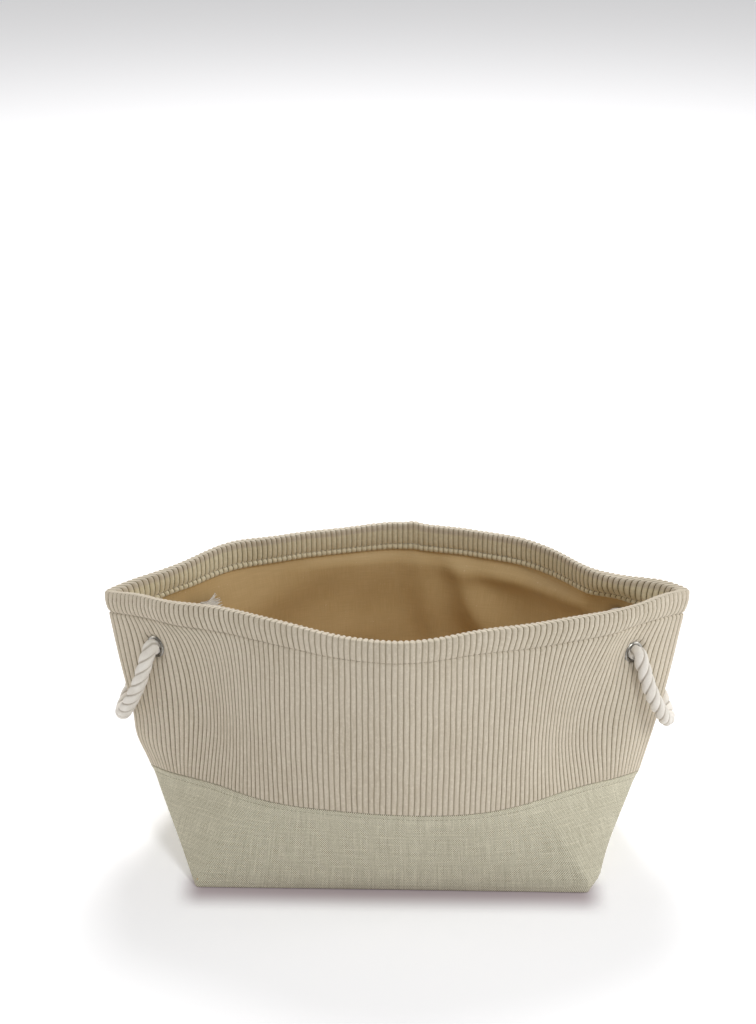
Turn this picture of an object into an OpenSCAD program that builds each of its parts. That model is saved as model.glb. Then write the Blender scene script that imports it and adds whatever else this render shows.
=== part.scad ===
// Fabric storage bin: a ribbed corduroy band over a plain linen tub, a coated lining,
// and two rope handles that pass through metal eyelets and are knotted inside.
//
// The walls are lofted between three guide lines that run round the bin: the base
// outline, the seam line where corduroy meets linen, and the rim. A station counts
// up the wall: 0 is the base, 1 the seam and 2 the rim. An inset is measured inwards
// from the outer face. The base is boxed: at each end a flat triangle rises from the
// short edge of the base to the fold, and a crease runs from each corner up to it.
// The origin is the middle of the underside, +Z is up, and X runs along the length.
// All sizes are in millimetres.

/* [Overall shape] */
// Length of the rim from fold to fold
rim_l = 400; // [360:1:480]
// Width of the open rim across its middle
rim_w = 192; // [150:1:232]
// Height of the rim at its folded ends
rim_z = 181; // [150:1:220]
// How much higher the rim stands along the middle of each long side
rim_rise = 12; // [0:1:20]
// Length of the base
base_l = 268; // [220:1:324]
// Width of the base
base_w = 182; // [150:1:220]

/* [Seam between corduroy and linen] */
// Length across the ends at the seam
seam_l = 347; // [300:1:400]
// Width across the long sides at the seam
seam_w = 214; // [170:1:240]
// Height of the seam at the ends
seam_z = 44; // [34:1:56]
// How much higher the seam runs along the middle of each long side
seam_rise = 19; // [0:1:24]
// Outward bow of the corduroy band between seam and rim
band_bow = 2.5; // [0:0.5:5]

/* [Fabric layers] */
// Thickness of the corduroy
cord_t = 2; // [1.4:0.1:3]
// Thickness of the linen
linen_t = 1; // [0.6:0.1:1.6]
// Thickness of the stiff felt inside the walls
felt_t = 1; // [0.6:0.1:2]
// Thickness of the coated lining
lining_t = 0.6; // [0.4:0.1:1]
// Thickness of the board in the base
board_t = 2.5; // [1.5:0.5:4]
// Clearance between neighbouring layers
layer_gap = 0.1; // [0.05:0.05:0.2]
// Depth of the corduroy hem turned down inside the rim
hem_h = 21; // [14:1:28]
// Thickness of the sewing thread
thread_t = 0.5; // [0.3:0.1:0.8]
// Distance of the hem stitches below the rim
hem_stitch_down = 16.5; // [12:0.5:20]
// Distance of the linen stitches below the seam
seam_stitch_down = 3.5; // [2:0.5:6]

/* [Eyelets] */
// Distance of an eyelet in from the rim's fold, along the length
eyelet_in = 33; // [26:1:60]
// Gap between the hem and an eyelet's flange
eyelet_below_hem = 9.5; // [2:0.1:30]
// Clearance of the rope in its eyelet, on the diameter
rope_fit = 1; // [0.4:0.1:2]
// Metal thickness of an eyelet
eyelet_t = 0.6; // [0.4:0.1:1]
// Width of an eyelet's flange beyond its barrel
flange_w = 1.6; // [1:0.1:3]

/* [Rope handles] */
// Diameter of the rope
rope_d = 10; // [8:0.5:12]
// Drop of the hanging loop below its eyelets
loop_drop = 62; // [50:1:90]
// Gap between the hanging loop and the fold of the wall
loop_gap = 1.8; // [1:0.1:10]
// Length of the frayed rope end beyond its knot
tail_l = 26; // [16:1:36]

/* [Hidden] */
$fn = 48;

corduroy_colour = [0.76, 0.70, 0.60];
linen_colour = [0.66, 0.64, 0.55];
felt_colour = [0.90, 0.90, 0.88];
board_colour = [0.45, 0.40, 0.33];
lining_colour = [0.68, 0.56, 0.38];
metal_colour = [0.42, 0.41, 0.39];
rope_colour = [0.90, 0.88, 0.83];

// Samples along the half of a short side, in a quarter turn, and in a whole turn
side_n = 8;
quarter_n = 19;
turn_n = 4 * quarter_n;
// Where the base's corner falls in a quarter turn
corner_q = base_w / (base_w + base_l);
// Shape of the two lens-shaped guide lines: 2 is a parabola, less is more pointed
seam_power = 2.2;
rim_power = 1.5;
// How quickly a guide line rises away from the folded ends
rise_power = 4;

// Insets of the layers, from the outside in
felt_in = cord_t + layer_gap;
lining_in = felt_in + felt_t + layer_gap;
wall_t = lining_in + lining_t;
flap_in = wall_t + 2 * layer_gap;
hem_t = flap_in + cord_t;
// Heights of the layers in the floor
board_z = linen_t + layer_gap;
lining_base_z = board_z + board_t + layer_gap;

// Stations between the guide lines. The tub's fall where the crease crosses the samples
tub_steps = [for (k = [1:side_n - 1]) k / side_n];
band_steps = [1.25, 1.5, 1.7];
// Height of the band measured up its end, from the seam to the rim
band_h = norm([(rim_l - seam_l) / 2, rim_z - seam_z]);
// Slack left where one fabric edge meets another
edge_gap = 0.15;
// Station of the linen's row of stitches
seam_stitch_s = 1 - seam_stitch_down / seam_z;

function mix(a, b, k) = a + (b - a) * k;
function unit(v) = v / norm(v);
function below_rim(h) = 2 - h / band_h;

// Every guide line is drawn for one quarter, from its end (q = 0) to its middle (q = 1)
function base_line(q, d) =
  let (a = base_l / 2 - d, b = base_w / 2 - d)
  q < corner_q ? [a, b * q / corner_q] : [a * (1 - q) / (1 - corner_q), b];

// A lens: its long side is one curve, from its fold to its middle
function lens_line(l, w, power, q, d) =
  let (fold_in = d / sin(atan(w * power / l)))
  [(l / 2 - fold_in) * (1 - q), (w / 2 - d) * (1 - pow(1 - q, power))];

// How much of its full rise a guide line has at q
function rise(q) = 1 - pow(1 - q, rise_power);

function base_at(q, d) = [each base_line(q, d), 0];
function seam_at(q, d) = [each lens_line(seam_l, seam_w, seam_power, q, d), seam_z + seam_rise * rise(q)];
function rim_at(q, d) = [each lens_line(rim_l, rim_w, rim_power, q, d), rim_z + rim_rise * rise(q)];

// Linen: up to the crease a point is on the flat end, and past it on the long side
function tub_at(s, q, d) =
  let (crease_s = 1 - q / corner_q, fold = seam_at(0, d), low = base_at(q, d),
    end_at = function (k) [mix(low.x, fold.x, k), low.y, fold.z * k])
  q >= corner_q ? mix(low, seam_at(q, d), s)
  : s <= crease_s ? end_at(s)
  : mix(end_at(crease_s), seam_at(q, d), (s - crease_s) / (1 - crease_s));

// Corduroy: straight from the seam to the rim, with a slight outward bow
function band_at(s, q, d) =
  let (p = mix(seam_at(q, d), rim_at(q, d), s - 1), away = unit([p.x, p.y]) * band_bow * sin(180 * (s - 1)))
  p + [away.x, away.y, 0];

// The point at station s, a fraction q of a quarter turn and an inset d
function quarter_point(s, q, d) = s <= 1 ? tub_at(s, q, d) : band_at(s, q, d);

// The point i of a whole turn, counted from the +X fold towards +Y
function turn_point(s, i, d) =
  let (quarter = floor(i / quarter_n) % 4, part = i % quarter_n,
    step = quarter % 2 == 0 ? part : quarter_n - part,
    q = step <= side_n ? corner_q * step / side_n
      : mix(corner_q, 1, (step - side_n) / (quarter_n - side_n)),
    p = quarter_point(s, q, d))
  [quarter == 0 || quarter == 3 ? p.x : -p.x, quarter < 2 ? p.y : -p.y, p.z];

// A strip of wall. The profile lists [station, inset, rise] round one cut through the
// wall, and is swept from turn point i0 to i1. Ends are closed unless it is a whole turn.
// The diagonals of its quads lie along the crease, which leans the other way in turn
// from one quarter to the next, and on the inner face.
module strip(profile, i0, i1) {
  whole = i1 - i0 == turn_n;
  rings = whole ? turn_n : i1 - i0 + 1;
  m = len(profile);
  points = [for (i = [0:rings - 1]) for (p = profile) turn_point(p[0], i0 + i, p[1]) + [0, 0, p[2]]];
  sides = [for (i = [0:(whole ? rings : rings - 1) - 1]) for (j = [0:m - 1])
    let (a = i * m + j, b = i * m + (j + 1) % m,
      c = (i + 1) % rings * m + (j + 1) % m, d = (i + 1) % rings * m + j,
      odd_quarter = floor((i0 + i) / quarter_n) % 2 == 1,
      going_up = profile[(j + 1) % m][0] > profile[j][0])
    each (odd_quarter == going_up ? [[a, b, c], [a, c, d]] : [[a, b, d], [b, c, d]])];
  // The profile goes up one face and down the other, so each end is a ladder of quads
  ends = whole ? [] : [for (e = [0, rings - 1]) for (j = [0:m / 2 - 2])
    let (a = e * m + j, b = a + 1, c = e * m + m - 2 - j, d = c + 1,
      quads = [[a, d, c], [a, c, b]])
    for (t = quads) e == 0 ? t : [t[2], t[1], t[0]]];
  polyhedron(points = points, faces = concat(sides, ends));
}

// One layer of wall between two insets, through a list of stations
function layer(stations, d0, d1) = concat(
  [for (s = stations) [s, d0, 0]],
  [for (k = [len(stations) - 1:-1:0]) [stations[k], d1, 0]]);

// How far the walls lean in above the corners of the base, per unit of height
above_corner = seam_at(corner_q, 0);
corner_lean = max(0, (base_w / 2 - above_corner.y) / above_corner.z);

// A flat sheet in the floor: the base outline at an inset, from z0 up by t. Its edge
// stays clear of the walls where they lean in.
module floor_sheet(d, z0, t) {
  clear_d = d + corner_lean * (z0 + t);
  outline = [for (i = [0:turn_n - 1]) let (p = turn_point(0, i, clear_d)) [p.x, p.y]];
  translate([0, 0, z0])
    linear_extrude(height = t) polygon(outline);
}

// Radii of the eyelet parts
bore_r = (rope_d + rope_fit) / 2;
barrel_r = bore_r + eyelet_t;
hole_r = barrel_r + layer_gap;
flange_r = barrel_r + flange_w;

// Frame of the eyelet in the front left wall: its middle, and the wall's outward direction
eyelet_s = below_rim(hem_h + eyelet_below_hem + flange_r);
eyelet_q = eyelet_in / (rim_l / 2);
function front_left(p) = [-p.x, -p.y, p.z];
eyelet_at = front_left(quarter_point(eyelet_s, eyelet_q, 0));
along = front_left(quarter_point(eyelet_s, eyelet_q + 0.03, 0))
  - front_left(quarter_point(eyelet_s, eyelet_q - 0.03, 0));
upward = front_left(quarter_point(eyelet_s + 0.04, eyelet_q, 0))
  - front_left(quarter_point(eyelet_s - 0.04, eyelet_q, 0));
eyelet_out = unit(cross(along, upward));

// Depths of the eyelet parts, along the outward direction
seat_sink = 0.4;
seat_r = flange_r + 0.4;
washer_t = 0.5;
washer_top = seat_sink - wall_t - layer_gap;
lip_top = washer_top - washer_t - layer_gap;
lip_t = 0.6;

// The rope handle: its pivot lies just outside the eyelet
rope_r = rope_d / 2;
pivot_out = rope_r + 2;
pivot = eyelet_at + eyelet_out * pivot_out;
stub_end = pivot_out - rope_r - 0.5;
// The loop's lowest point hangs clear of the fold of the wall
loop_s = 1 + (pivot.z - loop_drop - seam_z) / (rim_z - seam_z);
loop_reach = quarter_point(loop_s, 0, 0).x + rope_r + loop_gap + pivot.x;
rope_rings = 28;
rope_sides = 12;
// How squarely the loop hangs: less is squarer
loop_square = 0.75;
knot_wrap_r = rope_r * 1.35;
knot_at = lip_top - lip_t - rope_r - 0.4;
knot_back_r = rope_r * 1.5;

// Places a child, drawn for the front left corner, at the corner that is asked for
module corner(left, front) {
  mirror([left ? 0 : 1, 0, 0])
    mirror([0, front ? 0 : 1, 0])
      children();
}

module on_eyelet() {
  translate(eyelet_at)
    rotate([0, acos(eyelet_out.z), atan2(eyelet_out.y, eyelet_out.x)])
      children();
}

// What is cut from the wall at each eyelet: a bore, and a flat seat on either face
module eyelet_cuts() {
  for (left = [true, false]) for (front = [true, false])
    corner(left, front) on_eyelet() {
      translate([0, 0, -3 * wall_t]) cylinder(r = hole_r, h = 6 * wall_t);
      translate([0, 0, -seat_sink]) cylinder(r = seat_r, h = 3 * seat_sink);
      translate([0, 0, seat_sink - wall_t - 3]) cylinder(r = seat_r, h = 3);
    }
}

module corduroy_band() {
  top = below_rim(cord_t + 1);
  hem = below_rim(hem_h);
  fold = hem_t / 2;
  outside = [[1, 0, edge_gap], for (s = band_steps) [s, 0, 0], [hem, 0, 0], [top, 0, 0]];
  crown = [[2, fold * 0.3, -0.9], [2, fold, 0], [2, hem_t - fold * 0.3, -0.9]];
  flap = [[top, hem_t, 0], [hem, hem_t, 0], [hem, flap_in, 0], [top, flap_in, 0]];
  inside = [[top, cord_t, 0], [hem, cord_t, 0],
    for (k = [len(band_steps) - 1:-1:0]) [band_steps[k], cord_t, 0], [1, cord_t, edge_gap]];
  color(corduroy_colour)
    difference() {
      strip(concat(outside, crown, flap, inside), 0, turn_n);
      eyelet_cuts();
    }
}

module linen_panel(i0) {
  color(linen_colour)
    strip(layer([0, each tub_steps, seam_stitch_s, 1], 0, linen_t), i0, i0 + turn_n / 2);
}

module linen_front() {
  translate([0, -edge_gap / 2, 0]) linen_panel(turn_n / 2);
}

module linen_back() {
  translate([0, edge_gap / 2, 0]) linen_panel(0);
}

module linen_base() {
  color(linen_colour) floor_sheet(linen_t + edge_gap, 0, linen_t);
}

module base_board() {
  color(board_colour) floor_sheet(lining_in + edge_gap, board_z, board_t);
}

module lining_base() {
  color(lining_colour) floor_sheet(wall_t + edge_gap, lining_base_z, lining_t);
}

module wall_felt() {
  low = (linen_t + layer_gap) / seam_z;
  high = below_rim(cord_t + 2);
  stations = [low, each tub_steps, 1, each band_steps, below_rim(hem_h), high];
  color(felt_colour)
    difference() {
      strip(layer(stations, felt_in, felt_in + felt_t), 0, turn_n);
      eyelet_cuts();
    }
}

module lining_panel(i0) {
  low = lining_base_z / seam_z;
  high = below_rim(cord_t + 2);
  stations = [low, each tub_steps, 1, each band_steps, below_rim(hem_h), high];
  color(lining_colour) strip(layer(stations, lining_in, wall_t), i0, i0 + turn_n / 2);
}

module lining_front() {
  difference() {
    translate([0, -layer_gap / 4, 0]) lining_panel(turn_n / 2);
    eyelet_cuts();
  }
}

module lining_back() {
  difference() {
    translate([0, layer_gap / 4, 0]) lining_panel(0);
    eyelet_cuts();
  }
}

// A flanged barrel from the outside, rolled over its washer on the inside
module eyelet(left, front) {
  under = -seat_sink + layer_gap / 2;
  outline = [[bore_r, lip_top - lip_t], [barrel_r + 0.5, lip_top - lip_t],
    [barrel_r + 0.9, lip_top - lip_t / 2], [barrel_r + 0.5, lip_top], [barrel_r, lip_top],
    [barrel_r, under], [flange_r, under], [flange_r, under + eyelet_t * 0.6],
    [flange_r - 0.6, under + eyelet_t * 1.5], [barrel_r - 0.1, under + eyelet_t * 1.5],
    [bore_r, under + eyelet_t * 0.5]];
  color(metal_colour)
    corner(left, front) on_eyelet() rotate_extrude() polygon(outline);
}

module washer(left, front) {
  color(metal_colour)
    corner(left, front) on_eyelet()
      translate([0, 0, washer_top - washer_t])
        difference() {
          cylinder(r = flange_r, h = washer_t);
          translate([0, 0, -1]) cylinder(r = hole_r, h = washer_t + 2);
        }
}

// The hanging loop, from the front pivot round the bin's end to the back pivot
function loop_point(k) =
  let (a = 180 * k)
  [pivot.x - loop_reach * sin(a), pivot.y * cos(a), pivot.z - loop_drop * pow(sin(a), loop_square)];

// A rope along a path, rounded off past both ends
module rope_sweep(path, r) {
  n = len(path);
  first_t = unit(path[0] - path[1]);
  last_t = unit(path[n - 1] - path[n - 2]);
  dome = [15, 40, 65];
  // Each stop is [middle, direction, radius]
  stops = concat(
    [for (a = dome) [path[0] + first_t * r * cos(a), -first_t, r * sin(a)]],
    [for (i = [0:n - 1]) [path[i], unit(path[min(i + 1, n - 1)] - path[max(i - 1, 0)]), r]],
    [for (k = [len(dome) - 1:-1:0]) [path[n - 1] + last_t * r * cos(dome[k]), last_t, r * sin(dome[k])]]);
  count = len(stops);
  rings = [for (s = stops) let (u = unit(cross(s[1], [1, 0, 0])), w = cross(s[1], u))
    for (j = [0:rope_sides - 1])
      s[0] + s[2] * (cos(360 * j / rope_sides) * u + sin(360 * j / rope_sides) * w)];
  sides = [for (i = [0:count - 2]) for (j = [0:rope_sides - 1])
    let (a = i * rope_sides + j, b = i * rope_sides + (j + 1) % rope_sides,
      c = b + rope_sides, d = a + rope_sides)
    each [[a, b, c], [a, c, d]]];
  first = [for (j = [rope_sides - 1:-1:0]) j];
  last = [for (j = [0:rope_sides - 1]) (count - 1) * rope_sides + j];
  polyhedron(points = rings, faces = concat(sides, [first, last]));
}

module handle_rope(left) {
  color(rope_colour)
    corner(left, true)
      rope_sweep([for (i = [0:rope_rings]) loop_point(i / rope_rings)], rope_r);
}

// The fixed end of a rope: through the eyelet, wrapped once in a knot, then a frayed tail.
// The tail lies along the wall, and a tilt above zero lifts it.
module knot(left, front, tail_tilt) {
  color(rope_colour)
    corner(left, front) on_eyelet() {
      translate([0, 0, knot_at - rope_r]) cylinder(r = rope_r, h = stub_end - knot_at + rope_r);
      translate([0, 0, knot_at])
        rotate_extrude() translate([knot_wrap_r, 0]) circle(r = rope_r);
      translate([0, 0, knot_at - rope_r]) sphere(r = knot_back_r);
      translate([0, 0, knot_at - rope_r]) rotate([0, 0, tail_tilt]) rotate([-90, 0, 0]) {
        cylinder(r = rope_r * 0.9, h = knot_back_r + tail_l * 0.6);
        translate([0, 0, knot_back_r + tail_l * 0.6])
          cylinder(r1 = rope_r * 0.9, r2 = rope_r * 1.4, h = tail_l * 0.4);
      }
    }
}

// One row of stitches, as a fine cord laid on a face
module thread_row(s, d) {
  step = thread_t / band_h;
  strip(layer([s - step, s], d, d + thread_t), 0, turn_n);
}

module hem_thread() {
  s = below_rim(hem_stitch_down);
  color(corduroy_colour) {
    thread_row(s, -thread_t - layer_gap);
    thread_row(s, hem_t + layer_gap);
  }
}

module seam_thread() {
  color(linen_colour) thread_row(seam_stitch_s, -thread_t - 2 * layer_gap);
}

corduroy_band();
linen_front();
linen_back();
linen_base();
wall_felt();
base_board();
lining_front();
lining_back();
lining_base();
eyelet(true, true);  // eyelet_front_left
eyelet(false, true);  // eyelet_front_right
eyelet(true, false);  // eyelet_back_left
eyelet(false, false);  // eyelet_back_right
washer(true, true);  // washer_front_left
washer(false, true);  // washer_front_right
washer(true, false);  // washer_back_left
washer(false, false);  // washer_back_right
handle_rope(true);  // handle_rope_left
handle_rope(false);  // handle_rope_right
knot(true, true, -50);  // knot_front_left
knot(false, true, -65);  // knot_front_right
knot(true, false, 12);  // knot_back_left
knot(false, false, -40);  // knot_back_right
hem_thread();
seam_thread();
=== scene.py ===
"""Looks of a fabric storage bin: ribbed corduroy band, linen tub, coated lining, eyelets and rope handles.

Every cloth piece is drawn on one wall map, which gives the point at a fraction of a turn round the bin,
a station up the wall (0 base, 1 seam, 2 rim) and an inset from the outer face. All sizes are in metres.
"""

import math

import bmesh
import bpy
import numpy as np
from mathutils import Matrix, Vector


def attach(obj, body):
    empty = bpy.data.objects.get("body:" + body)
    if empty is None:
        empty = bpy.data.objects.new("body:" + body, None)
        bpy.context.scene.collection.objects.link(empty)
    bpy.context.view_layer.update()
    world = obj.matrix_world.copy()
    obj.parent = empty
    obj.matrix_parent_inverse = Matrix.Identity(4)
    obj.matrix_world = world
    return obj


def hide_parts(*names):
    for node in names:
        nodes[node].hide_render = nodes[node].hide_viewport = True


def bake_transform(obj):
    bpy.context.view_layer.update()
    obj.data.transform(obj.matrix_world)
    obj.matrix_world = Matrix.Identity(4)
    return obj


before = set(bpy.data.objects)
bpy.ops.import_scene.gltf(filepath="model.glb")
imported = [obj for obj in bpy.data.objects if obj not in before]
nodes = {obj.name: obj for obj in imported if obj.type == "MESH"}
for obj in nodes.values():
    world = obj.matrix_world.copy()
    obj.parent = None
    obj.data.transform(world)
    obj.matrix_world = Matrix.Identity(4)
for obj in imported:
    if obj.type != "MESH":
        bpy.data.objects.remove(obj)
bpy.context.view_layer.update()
MM = 0.001

# Driving sizes of the wall, as in the CAD model: length, width, height at the folded ends, rise in the middle
RIM = (400 * MM, 192 * MM, 181 * MM, 12 * MM)
SEAM = (347 * MM, 214 * MM, 44 * MM, 19 * MM)
BASE_L, BASE_W = 268 * MM, 182 * MM
RIM_POWER, SEAM_POWER, RISE_POWER = 1.5, 2.2, 4
BAND_BOW = 2.5 * MM
CORNER_Q = BASE_W / (BASE_W + BASE_L)
HEM_T = 6 * MM

# Rope handles
ROPE_D = 10 * MM
ROPE_LAY = 29 * MM
LOOP_DROP = 62 * MM
LOOP_REACH = 23.97 * MM
LOOP_SQUARE = 0.75

# Front left eyelet: its middle on the outer face, and its outward direction
EYELET = Vector((-162.813, -26.419, 150.646)) * MM
EYELET_OUT = Vector((-0.6122, -0.7907, 0.0002)).normalized()
PIVOT_OUT = 7 * MM
CORNERS = {"front_left": (1, 1), "front_right": (-1, 1), "back_left": (1, -1), "back_right": (-1, -1)}

rng = np.random.default_rng(7)


def smooth(k):
    k = np.clip(k, 0, 1)
    return k * k * (3 - 2 * k)


def mirrored(v, corner):
    """A front left point or direction, moved to another corner."""
    sx, sy = CORNERS[corner]
    return Vector((v[0] * sx, v[1] * sy, v[2]))


# ---------------------------------------------------------------- camera


def add_camera():
    elevation = math.radians(23.3)
    turned = math.radians(1.5)
    distance = 1.510
    target = Vector((-0.0116, 0, 0.2409))
    level = math.cos(elevation)
    look = Vector((-math.sin(turned) * level, math.cos(turned) * level, -math.sin(elevation)))
    data = bpy.data.cameras.new("camera")
    data.lens = 78.6
    data.clip_start, data.clip_end = 0.05, 50
    camera = bpy.data.objects.new("camera", data)
    camera.location = target - look * distance
    camera.rotation_euler = look.to_track_quat("-Z", "Y").to_euler()
    bpy.context.scene.collection.objects.link(camera)
    bpy.context.scene.camera = camera


add_camera()

# ---------------------------------------------------------------- wall map


def lens_line(size, power, q, inset):
    """A lens outline for one quarter turn: q is 0 at the fold and 1 in the middle of the long side."""
    length, width, low, rise = size
    tip = inset / math.sin(math.atan(width * power / length))
    x = (length / 2 - tip) * (1 - q)
    y = (width / 2 - inset) * (1 - (1 - q) ** power)
    z = low + rise * (1 - (1 - q) ** RISE_POWER)
    return np.stack([x, y, z], -1)


def base_line(q, inset):
    a, b = BASE_L / 2 - inset, BASE_W / 2 - inset
    x = np.where(q < CORNER_Q, a, a * (1 - q) / (1 - CORNER_Q))
    y = np.where(q < CORNER_Q, b * q / CORNER_Q, b)
    return np.stack([x, y, np.zeros_like(q)], -1)


def quarter_line(s, q, inset):
    """The outline of a quarter turn at station s."""
    seam = lens_line(SEAM, SEAM_POWER, q, inset)
    if s > 1:
        p = seam + (lens_line(RIM, RIM_POWER, q, inset) - seam) * (s - 1)
        away = p[:, :2] / np.linalg.norm(p[:, :2], axis=1)[:, None]
        p[:, :2] += away * BAND_BOW * math.sin(math.pi * (s - 1))
        return p
    low = base_line(q, inset)
    fold = lens_line(SEAM, SEAM_POWER, np.zeros(1), inset)[0]

    def end_at(k):
        x = low[:, 0] + (fold[0] - low[:, 0]) * k
        return np.stack([x, low[:, 1], fold[2] * k + 0 * x], -1)

    crease = np.clip(1 - q / CORNER_Q, 0, 0.9999)
    over = np.clip((s - crease) / (1 - crease), 0, 1)[:, None]
    above = end_at(crease) + (seam - end_at(crease)) * over
    flat_end = (q < CORNER_Q) & (s <= crease)
    return np.where(
        (q >= CORNER_Q)[:, None], low + (seam - low) * s, np.where(flat_end[:, None], end_at(s), above)
    )


def even_steps(ring, count):
    """count points at equal distances round a closed ring, from its first point."""
    closed = np.vstack([ring, ring[:1]])
    along = np.r_[0, np.cumsum(np.linalg.norm(np.diff(closed, axis=0), axis=1))]
    want = np.linspace(0, along[-1], count, endpoint=False)
    return np.stack([np.interp(want, along, closed[:, k]) for k in range(3)], -1)


# Points in each ring of the wall map
DENSE = 2400


def whole_turn(s, inset, soft):
    """A closed ring at station s, from the middle of the back towards +X, with its folds rounded."""
    up = np.linspace(0, 1, 600, endpoint=False)
    down = 1 - up
    parts = [(down, 1, 1), (up, 1, -1), (down, -1, -1), (up, -1, 1)]
    ring = np.vstack([quarter_line(s, q, inset) * (sx, sy, 1) for q, sx, sy in parts])
    ring = even_steps(ring, DENSE)
    reach = ring[:, 0].max()
    step = np.linalg.norm(ring[1] - ring[0])
    wave = np.fft.rfftfreq(DENSE, step)[:, None]
    ring = np.fft.irfft(np.fft.rfft(ring, axis=0) * np.exp(-2 * (math.pi * wave * soft) ** 2), DENSE, axis=0)
    ring[:, 0] *= reach / ring[:, 0].max()
    return ring


# Soft swells and dents: middle (x, z), reach (x, z) and movement along y, on the front and on the back.
# Where the wall faces part way to an end, a dent also moves towards the middle.
FRONT_SWELLS = (
    (-0.126, 0.096, 0.020, 0.030, 7.5 * MM),
    (0.126, 0.094, 0.021, 0.030, 7.5 * MM),
    (-0.160, 0.092, 0.012, 0.034, -2.0 * MM),
    (0.160, 0.092, 0.012, 0.034, -2.0 * MM),
    (0.128, 0.190, 0.034, 0.050, -6.0 * MM),
    (0.030, 0.195, 0.060, 0.035, -2.4 * MM),
    (-0.150, 0.192, 0.016, 0.020, -2.6 * MM),
    (-0.108, 0.190, 0.020, 0.026, 2.8 * MM),
    (-0.085, 0.120, 0.040, 0.030, 1.2 * MM),
    (0.075, 0.110, 0.030, 0.030, 1.4 * MM),
    (0.010, 0.130, 0.050, 0.035, -1.2 * MM),
    (-0.030, 0.030, 0.060, 0.018, 0.9 * MM),
    (0.080, 0.034, 0.040, 0.018, 0.8 * MM),
)
BACK_SWELLS = (
    (-0.122, 0.098, 0.021, 0.030, -6.0 * MM),
    (0.118, 0.096, 0.021, 0.030, -6.5 * MM),
    (0.142, 0.193, 0.022, 0.034, -13.0 * MM),
    (0.086, 0.192, 0.013, 0.030, 4.5 * MM),
    (-0.113, 0.192, 0.014, 0.030, 4.2 * MM),
    (-0.160, 0.190, 0.018, 0.020, -4.0 * MM),
    (-0.020, 0.193, 0.040, 0.040, -2.6 * MM),
    (0.030, 0.120, 0.030, 0.030, -1.6 * MM),
    (-0.070, 0.110, 0.035, 0.030, 1.4 * MM),
)


def facing_end(p):
    """How much the wall turns towards an end there: 0 along the middle, towards 1 at the folds."""
    return 0.7 * smooth((np.abs(p[:, 0]) - 60 * MM) / (110 * MM))


# Where the ends of the band meet at the back, and the corner of the base that swells outwards
JOIN_X = 12 * MM
SWOLLEN_CORNER = np.array((BASE_L / 2, -BASE_W / 2, 0.0))


def soft_spot(offset, reach):
    """A bell curve: 1 where the offset is 0, and 0.61 at the reach."""
    return np.exp(-0.5 * (offset / reach) ** 2)


def settle(p):
    """Moves wall points as the slack cloth has settled. The walls stay put at the eyelets."""
    held = np.ones(len(p))
    for corner in CORNERS:
        gap = np.linalg.norm(p - np.array(mirrored(EYELET, corner)), axis=1)
        held *= smooth((gap - 9 * MM) / (24 * MM))
    side = smooth(np.abs(p[:, 1]) / (22 * MM)) * smooth(p[:, 2] / (16 * MM))
    moved = p.copy()
    for swells, at_front in ((FRONT_SWELLS, True), (BACK_SWELLS, False)):
        here = held * side * ((p[:, 1] < 0) == at_front)
        for x, z, reach_x, reach_z, amount in swells:
            near = np.exp(-0.5 * ((p[:, 0] - x) / reach_x) ** 2 - 0.5 * ((p[:, 2] - z) / reach_z) ** 2)
            moved[:, 1] += amount * near * here
            moved[:, 0] -= np.sign(x) * facing_end(p) * abs(amount) * np.sign(-amount * p[:, 1]) * near * here
    ripple = np.sin(p[:, 0] * 61 + p[:, 2] * 23) * np.sin(p[:, 0] * 27 - p[:, 2] * 37 + 1.3)
    moved[:, 1] += 0.5 * MM * ripple * held * side
    by_corner = soft_spot(np.linalg.norm(p - SWOLLEN_CORNER, axis=1), 22 * MM)
    moved[:, 0] += 4.0 * MM * by_corner * smooth(p[:, 2] / (7 * MM))
    left_bulge = soft_spot(p[:, 2] - 68 * MM, 10 * MM) * smooth((-p[:, 0] - 150 * MM) / (25 * MM))
    moved[:, 0] -= 3.0 * MM * left_bulge
    # On the front, the seam rises, the rim sinks and the hem's stitches rise a little
    front = (p[:, 1] < 0) * smooth(np.abs(p[:, 1]) / (30 * MM))
    seam_lift = soft_spot(p[:, 0] + 20 * MM, 50 * MM) * soft_spot(p[:, 2] - 63 * MM, 26 * MM)
    moved[:, 2] += 5.8 * MM * seam_lift * front
    rim_sink = soft_spot(p[:, 0] - 5 * MM, 60 * MM) * smooth((p[:, 2] - 172 * MM) / (20 * MM))
    moved[:, 2] -= 2.6 * MM * rim_sink * front
    stitch_lift = soft_spot(p[:, 0], 60 * MM) * soft_spot(p[:, 2] - 176 * MM, 9 * MM)
    moved[:, 2] += 2.2 * MM * stitch_lift * front
    right_tip = smooth((p[:, 0] - 160 * MM) / (36 * MM)) * smooth((p[:, 2] - 150 * MM) / (30 * MM))
    moved[:, 0] += 1.6 * MM * right_tip
    moved[:, 2] += 4.2 * MM * right_tip
    left_tip = smooth((-p[:, 0] - 160 * MM) / (36 * MM)) * smooth((p[:, 2] - 150 * MM) / (30 * MM))
    moved[:, 2] -= 1.6 * MM * left_tip
    # The hem's join stands up a little at the back
    join = soft_spot(p[:, 0] - JOIN_X, 3.5 * MM) * (p[:, 1] > 0)
    moved[:, 2] += 1.3 * MM * join * smooth((p[:, 2] - 165 * MM) / (20 * MM))
    lift = np.sin(p[:, 0] * 47 + np.sign(p[:, 1]) * 1.1) + 0.6 * np.sin(p[:, 0] * 103 + 2)
    moved[:, 2] += 0.55 * MM * lift * smooth((p[:, 2] - 150 * MM) / (40 * MM)) * side
    return moved


STATIONS = np.r_[np.linspace(0, 1, 27), np.linspace(1, 2, 48)[1:]]


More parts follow.
